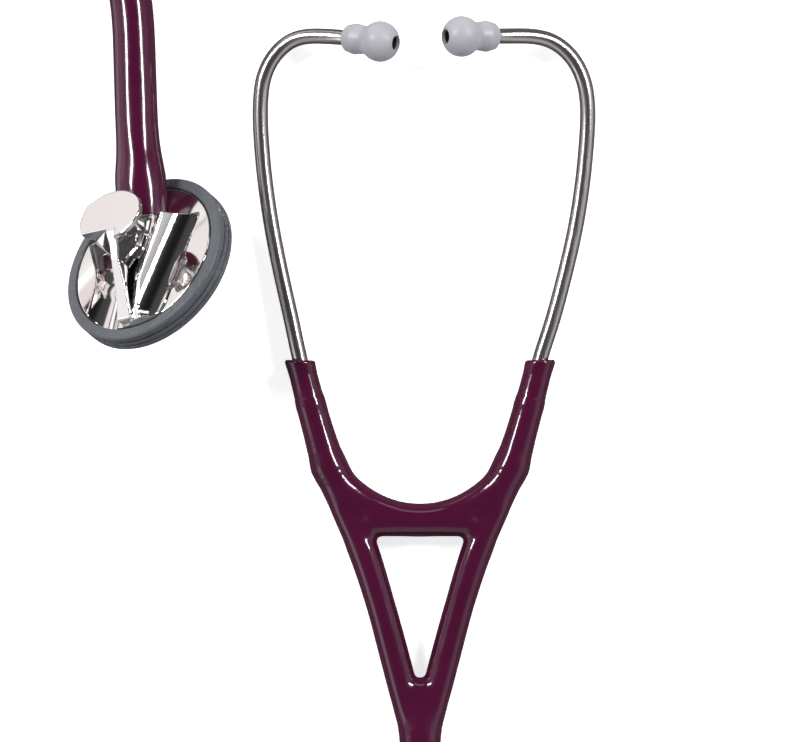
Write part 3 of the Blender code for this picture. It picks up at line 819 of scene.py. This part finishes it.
def body_field(p):
    """Base, wedge with hollow flanks, ridge and finger rest, where u runs along the stem and w out of the back."""
    u, v, w = p
    r = np.sqrt(u * u + v * v)
    dome = 0.25 + 1.2 * (1.0 - (r / BASE_RADIUS) ** 2)
    base = cross(cross(w - dome, r - BASE_RADIUS, 0.5), BASE_BOTTOM - w, 0.5)
    s, q = along_axis(p, STEM_START, STEM_AXIS)
    seat = np.maximum(q - 6.98, STEM_SEAT - s)

    top = np.interp(u, RIDGE_ALONG, RIDGE_TOP)
    half = np.interp(u, WEDGE_ALONG, WEDGE_HALF)
    neck_end = (u + 0.34 * w - 11.6) * 0.94
    wedge = cross(cross(np.abs(v) - half, (w - top + WEB_STEP) * 0.84, 0.4), neck_end, 0.6)
    wedge = np.maximum(wedge, CORE_BOTTOM - w)
    solid = join(base, wedge, 0.3)
    # The flank on the -v side: a shoulder out to its foot, hollowed from the crest down.
    foot = np.interp(u, FLANK_ALONG, FOOT_HALF)
    flank = cross(-v - foot, w - np.interp(u, FLANK_ALONG, CREST_TOP), 0.3)
    flank = cross(flank, neck_end, 0.6)
    solid = join(solid, np.maximum(np.maximum(flank, v), CORE_BOTTOM - w), 0.3)
    dish = round_cone(p, (9.0, 7.9, 10.2), (-14.0, 4.5, 7.7), 5.8, 3.5)
    solid = cut(solid, cross(dish, u - 13.0, 0.8), 0.35)
    dish = round_cone(p, (9.0, -6.7, 11.6), (-12.0, -4.1, 9.2), 4.7, 2.7)
    solid = cut(solid, cross(dish, u - 13.0, 0.8), 0.35)
    scoop = round_cone(p, (10.6, -19.3, 8.6), (-20.0, -10.9, 8.2), 8.0, 7.3)
    solid = cut(solid, cross(scoop, -v - foot, 0.2), 0.3)
    # The scoop on the +v side, with a waist.
    upper = round_cone(p, (10.6, 14.0, 4.0), (-4.0, 8.6, 3.6), 8.0, 5.9)
    lower = round_cone(p, (-4.0, 8.6, 3.6), (-20.0, 10.2, 6.2), 5.9, 8.8)
    solid = cut(solid, cross(join(upper, lower, 3.0), u - 11.2, 1.2), 0.3)

    half = np.interp(u, RIDGE_ALONG, RIDGE_HALF)
    ridge = cross((w - top) * 0.84, np.abs(v - np.interp(u, RIDGE_ALONG, RIDGE_ASIDE)) - half, 0.25)
    ridge = cross(cross(ridge, r - BASE_RADIUS + 0.25, 0.6), u - 3.0, 1.0)
    solid = join(solid, np.maximum(ridge, CORE_BOTTOM - w), 1.0)

    across = (v - REST_CENTRE[1]) / REST_HALF[1]
    rest_r = REST_HALF[0] * np.sqrt(((u - REST_CENTRE[0]) / REST_HALF[0]) ** 2 + across ** 2)
    rest = cross(rest_r - REST_HALF[0], np.abs(w - BUTTON_TOP + 0.6) - 1.1, 0.3)
    solid = join(solid, rest, 1.6)
    back = cross(cross(REST_CHORD - u, u - 7.0, 1.0), np.abs(v - 1.4) - 5.8, 1.5)
    back = np.maximum(np.maximum(back, w - BUTTON_TOP + 0.3), CORE_BOTTOM - w)
    solid = join(solid, back, 2.4)
    bite = cross(cross(u - REST_CHORD, -4.0 - v, 0.3), 1.2 - w, 6.0)
    solid = join(cut(solid, bite, 0.15), np.maximum(ridge, CORE_BOTTOM - w), 0.3)
    solid = cross(solid, w - BUTTON_TOP, 0.3)
    solid = cut(solid, seat, 0.2)
    return cross(solid, r - BASE_RADIUS, 0.3)


def make_chestpiece_body():
    step = 0.28
    mesh, normals = solid_mesh("chestpiece_back", body_field, (-23.4, -23.4, -4.4), (23.4, 23.4, 20.0), step)
    finish_solid(mesh, normals, CHEST_PLACE)
    new_piece("chestpiece_back", mesh, MIRROR, "tubing_and_chestpiece", ["chestpiece_body"])


def make_rim():
    profile = rounded([
        (BASE_RADIUS + 0.18, 0.1, 0.1), (BASE_RADIUS + 0.4, 0.42, 0.2), (RIM_RADIUS - 0.5, 0.30, 0.25),
        (RIM_RADIUS - 0.02, -0.2, 0.3), (RIM_RADIUS, -1.9, 0.2), (RIM_RADIUS - 0.6, -2.05, 0.15),
        (RIM_RADIUS - 0.6, -2.45, 0.15), (RIM_RADIUS, -2.65, 0.25), (RIM_RADIUS, -3.75, 0.25),
        (RIM_RADIUS - 0.5, -3.95, 0.15), (RIM_RADIUS - 0.5, -4.3, 0.15), (RIM_RADIUS + 0.05, -4.5, 0.25),
        (RIM_RADIUS - 0.05, -5.8, 0.4), (RIM_RADIUS - 0.9, -6.2, 0.4), (22.9, -6.2, 0.3), (22.9, -4.2, 0.1),
        (BASE_RADIUS + 0.18, -3.9, 0.1),
    ], 6)
    mesh = lathe("rim_ring", profile, CHEST_PLACE, 256, 45.0)
    new_piece("rim_ring", mesh, RIM, "tubing_and_chestpiece", ["retaining_rim"])


def make_stem_collar():
    profile = rounded([
        (3.6, 0.55, 0.0), (6.7, 0.55, 0.18), (6.95, 0.3, 0.15), (6.7, 0.0, 0.15), (6.2, -0.1, 0.1),
        (3.6, -0.1, 0.0),
    ], 4)
    seat = STEM_PLACE @ Matrix.Translation((0.0, 0.0, STEM_SEAT * MM))
    mesh = lathe("collar_ring", profile, seat, 96, 45.0)
    new_piece("collar_ring", mesh, MIRROR, "tubing_and_chestpiece", ["stem_collar"])


def make_diaphragm():
    face = rounded([
        (0.0, -6.02, 0.0), (19.2, -6.02, 0.1), (19.3, -6.2, 0.1), (19.1, -6.55, 0.2), (17.6, -6.6, 0.3),
        (17.3, -6.5, 0.2), (16.9, -6.6, 0.3), (0.0, -6.6, 0.0),
    ], 4, closed=False)
    mesh = lathe("diaphragm_disc", face, CHEST_PLACE, 192, 45.0)
    new_piece("diaphragm_disc", mesh, SHEET, "diaphragm", ["diaphragm"])
    roll = rounded([
        (19.55, -5.6, 0.1), (20.2, -5.2, 0.4), (20.8, -5.05, 0.4), (22.5, -5.05, 0.1), (22.5, -5.95, 0.1),
        (21.4, -5.95, 0.3), (20.9, -6.12, 0.3), (20.3, -6.12, 0.3), (19.55, -5.95, 0.2),
    ], 4)
    mesh = lathe("surround_roll", roll, CHEST_PLACE, 192, 45.0)
    new_piece("surround_roll", mesh, BLACK, "tubing_and_chestpiece", ["diaphragm_surround"])


make_chestpiece_body()
make_rim()
make_stem_collar()
make_diaphragm()


# ---------------------------------------------------------------- hose

def make_hose():
    end = STEM_START + STEM_AXIS * (STEM_SEAT + 0.7)
    route = list(HOSE_ROUTE) + [
        tuple(chest_point(STEM_START + STEM_AXIS * 26.0)),
        tuple(chest_point(STEM_START + STEM_AXIS * 20.3)),
        tuple(chest_point(STEM_START + STEM_AXIS * 10.0)),
        tuple(chest_point(end)),
    ]
    path = smooth_path(route, 1.3, 24)
    lengths = path_lengths(path)
    left = lengths[-1] - lengths
    swell_at = [0.0, 0.7, 2.0, 6.0, 9.0, 12.0, 15.0, 18.0, 22.0, 28.0, 60.0, 200.0,
                lengths[-1] - 45.0, lengths[-1]]
    swell = [6.7, 6.85, 6.95, 7.2, 7.35, 7.3, 6.9, 6.42, 6.14, 6.04, 5.98, 5.92, 5.85, 5.12]
    radii = np.interp(left, swell_at, swell)
    for _ in range(6):
        radii[1:-1] = radii[1:-1] * 0.5 + (radii[:-2] + radii[2:]) * 0.25
    bore = ((6.35, 0.0), (4.6, 0.05), (4.4, 0.4), (4.4, 3.0))
    mesh = swept("hose", path, radii, 64, (((4.9, -0.1), (2.0, -0.1)), bore))
    hose = new_piece("hose", mesh, PLUM, "tubing_and_chestpiece", ["main_tube", "tube_end"])


make_hose()


# ---------------------------------------------------------------- carried-over pieces

def dress(node, finish):
    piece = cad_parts[node]
    piece.data.materials.clear()
    piece.data.materials.append(finish)


for node in ("leaf_spring", "left_spring_clamp", "right_spring_clamp"):
    dress(node, SPRING)
dress("chestpiece_stem", MIRROR)
dress("body_seal", BLACK)


# ---------------------------------------------------------------- floor and light

def make_floor():
    """White to the eye; to glossy rays the floor is painted dark near the object and grey further left, a painted
    dark reflection in its polished sides.
    """
    mesh = bpy.data.meshes.new("floor")
    work = bmesh.new()
    bmesh.ops.create_grid(work, x_segments=8, y_segments=8, size=3.0)
    work.to_mesh(mesh)
    work.free()
    floor = bpy.data.objects.new("floor", mesh)
    bpy.context.scene.collection.objects.link(floor)
    floor.location.z = -0.00005
    m = Nodes("floor_white_painted_reflection")
    plain = m.mix(m.noise(3.0, 2.0), (0.90, 0.90, 0.90), (0.92, 0.92, 0.92))
    split = m.add("ShaderNodeSeparateXYZ")
    m.link(m.place_of(), split.inputs["Vector"])
    # Glossy rays only: the floor is painted dark (0.10) near the object and grey further left, painted shade for
    # the reflections in its polished sides.
    under = m.range(split.outputs["X"], 0.0, 1.0, -0.0830, -0.0850)
    painted_reflection_shade = m.mix(under, (0.10, 0.10, 0.10), (0.72, 0.69, 0.685))
    path = m.add("ShaderNodeLightPath")
    blend = m.add("ShaderNodeMix", data_type="RGBA")
    m.link(path.outputs["Is Glossy Ray"], blend.inputs["Factor"])
    m.link(plain, blend.inputs["A"])
    m.link(painted_reflection_shade, blend.inputs["B"])
    m.feed("Base Color", blend.outputs["Result"])
    m.shader.inputs["Emission Color"].default_value = (1.0, 1.0, 1.0, 1.0)
    m.feed("Emission Strength", m.range(path.outputs["Is Camera Ray"], 0.0, 0.75))
    m.set(Roughness=0.9)
    mesh.materials.append(m.material)


CARD_AWAY = 0.060
CARD_WARMTH = (1.0, 0.965, 0.955)


def area_light(name, azimuth, elevation, distance, size, radiance, color=(1.0, 1.0, 1.0),
               about=(0.0, 0.0, 0.0)):
    """A rectangle of even brightness that faces a point, set by its direction from there."""
    a, e = math.radians(azimuth), math.radians(elevation)
    data = bpy.data.lights.new(name, "AREA")
    data.shape = "RECTANGLE"
    data.size, data.size_y = size
    data.energy = radiance * math.pi * size[0] * size[1]
    data.color = color
    light = bpy.data.objects.new(name, data)
    bpy.context.scene.collection.objects.link(light)
    out = Vector((math.cos(a) * math.cos(e), math.sin(a) * math.cos(e), math.sin(e)))
    light.location = Vector(about) + out * distance
    light.rotation_euler = (-out).to_track_quat("-Z", "Y").to_euler()
    light.visible_camera = False


def make_world():
    """A dim tent: walls that glow between the horizon and mid height, under a dark top."""
    world = bpy.data.worlds.new("studio")
    bpy.context.scene.world = world
    world.use_nodes = True
    tree = world.node_tree
    background = tree.nodes["Background"]
    direction = tree.nodes.new("ShaderNodeTexCoord")
    split = tree.nodes.new("ShaderNodeSeparateXYZ")
    tree.links.new(direction.outputs["Generated"], split.inputs["Vector"])
    height = tree.nodes.new("ShaderNodeValToRGB")
    height.color_ramp.interpolation = "EASE"
    stops = ((0.0, 0.25), (0.06, 0.35), (0.16, 0.62), (0.55, 0.50), (0.72, 0.10), (1.0, 0.05))
    height.color_ramp.elements[0].position = stops[0][0]
    height.color_ramp.elements[1].position = stops[-1][0]
    for position, _ in stops[1:-1]:
        height.color_ramp.elements.new(position)
    for element, (_, value) in zip(height.color_ramp.elements, stops):
        element.color = (value, value, value * 1.04, 1.0)
    tree.links.new(split.outputs["Z"], height.inputs["Fac"])
    side = tree.nodes.new("ShaderNodeMapRange")
    side.interpolation_type = "SMOOTHSTEP"
    side.inputs["From Min"].default_value = 0.15
    side.inputs["From Max"].default_value = 0.70
    side.inputs["To Min"].default_value = 1.0
    side.inputs["To Max"].default_value = 0.12
    tree.links.new(split.outputs["Y"], side.inputs["Value"])
    dim = tree.nodes.new("ShaderNodeMix")
    dim.data_type = "RGBA"
    dim.blend_type = "MULTIPLY"
    dim.inputs["Factor"].default_value = 1.0
    tree.links.new(height.outputs["Color"], dim.inputs["A"])
    tree.links.new(side.outputs["Result"], dim.inputs["B"])
    toward = tree.nodes.new("ShaderNodeVectorMath")
    toward.operation = "DOT_PRODUCT"
    toward.inputs[1].default_value = (-0.741, 0.671, 0.0)
    tree.links.new(direction.outputs["Generated"], toward.inputs[0])
    sector = tree.nodes.new("ShaderNodeMapRange")
    sector.interpolation_type = "SMOOTHSTEP"
    sector.inputs["From Min"].default_value = 0.78
    sector.inputs["From Max"].default_value = 0.90
    tree.links.new(toward.outputs["Value"], sector.inputs["Value"])
    low = tree.nodes.new("ShaderNodeMapRange")
    low.interpolation_type = "SMOOTHSTEP"
    low.inputs["From Min"].default_value = 0.26
    low.inputs["From Max"].default_value = 0.12
    tree.links.new(split.outputs["Z"], low.inputs["Value"])
    glow = tree.nodes.new("ShaderNodeMath")
    glow.operation = "MULTIPLY"
    tree.links.new(sector.outputs["Result"], glow.inputs[0])
    tree.links.new(low.outputs["Result"], glow.inputs[1])
    lit = tree.nodes.new("ShaderNodeMix")
    lit.data_type = "RGBA"
    lit.inputs["B"].default_value = (0.93, 0.90, 0.895, 1.0)
    tree.links.new(glow.outputs["Value"], lit.inputs["Factor"])
    tree.links.new(dim.outputs["Result"], lit.inputs["A"])
    path = tree.nodes.new("ShaderNodeLightPath")
    plain = tree.nodes.new("ShaderNodeMix")
    plain.data_type = "RGBA"
    plain.inputs["B"].default_value = (0.92, 0.92, 0.92, 1.0)
    tree.links.new(path.outputs["Is Camera Ray"], plain.inputs["Factor"])
    tree.links.new(lit.outputs["Result"], plain.inputs["A"])
    tree.links.new(plain.outputs["Result"], background.inputs["Color"])


make_floor()
make_world()
area_light("strip_right", 33.0, 42.0, 2.4, (0.95, 0.26), 50.0)
area_light("strip_left", 147.0, 42.0, 2.4, (0.95, 0.26), 50.0)
area_light("box_back", 82.0, 30.0, 2.0, (1.30, 0.42), 1.3)
area_light("card", 180.0, 0.0, CARD_AWAY, (0.115, 0.0115), 0.80, CARD_WARMTH, place((-78.0, 176.0, 6.2)))
area_light("card_high", 180.0, 0.0, CARD_AWAY, (0.060, 0.024), 0.42, CARD_WARMTH, place((-78.0, 134.0, 51.0)))
area_light("box_front", 204.0, 24.0, 2.0, (0.8, 0.7), 0.95)
bpy.context.scene.view_settings.view_transform = "Standard"
